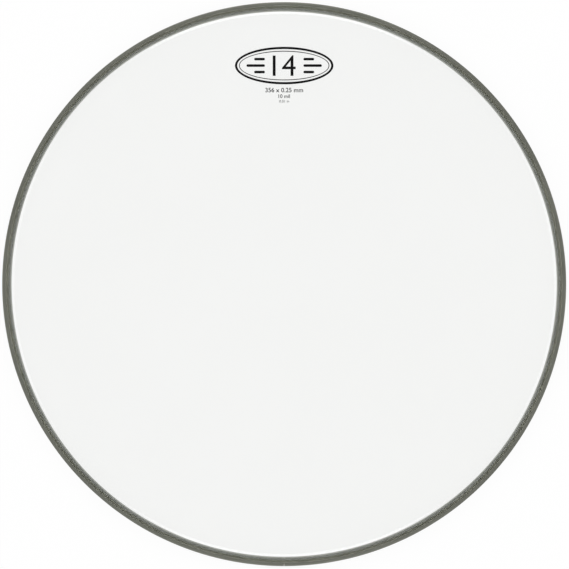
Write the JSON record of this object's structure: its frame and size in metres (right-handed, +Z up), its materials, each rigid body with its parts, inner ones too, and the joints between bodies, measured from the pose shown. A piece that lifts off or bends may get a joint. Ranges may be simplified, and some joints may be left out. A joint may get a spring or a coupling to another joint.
{
  "type": "drum head",
  "caption": "Clear drum head: flat plastic film with a sloping collar, its skirt cast in resin inside a channelled metal hoop, which a rim presses down to stretch it over a drum shell.",
  "frame": {"origin": "on the head's axis, in the plane of the hoop's underside", "axes": "+Z up along the axis, out of the playing face; +Y towards the printed mark, away from the hoop's seam"},
  "size_m": [0.3678, 0.3677, 0.016],
  "materials": {
    "film": "clear polyester film, gloss on both sides",
    "hoop": "mill finish section, satin, with draw lines along it",
    "resin": "cast epoxy, dark olive, glossy where it set in the open"
  },
  "bodies": {
    "root": {"film": "film", "flesh_hoop": "hoop", "resin_ring": "resin"}
  },
  "joints": []
}
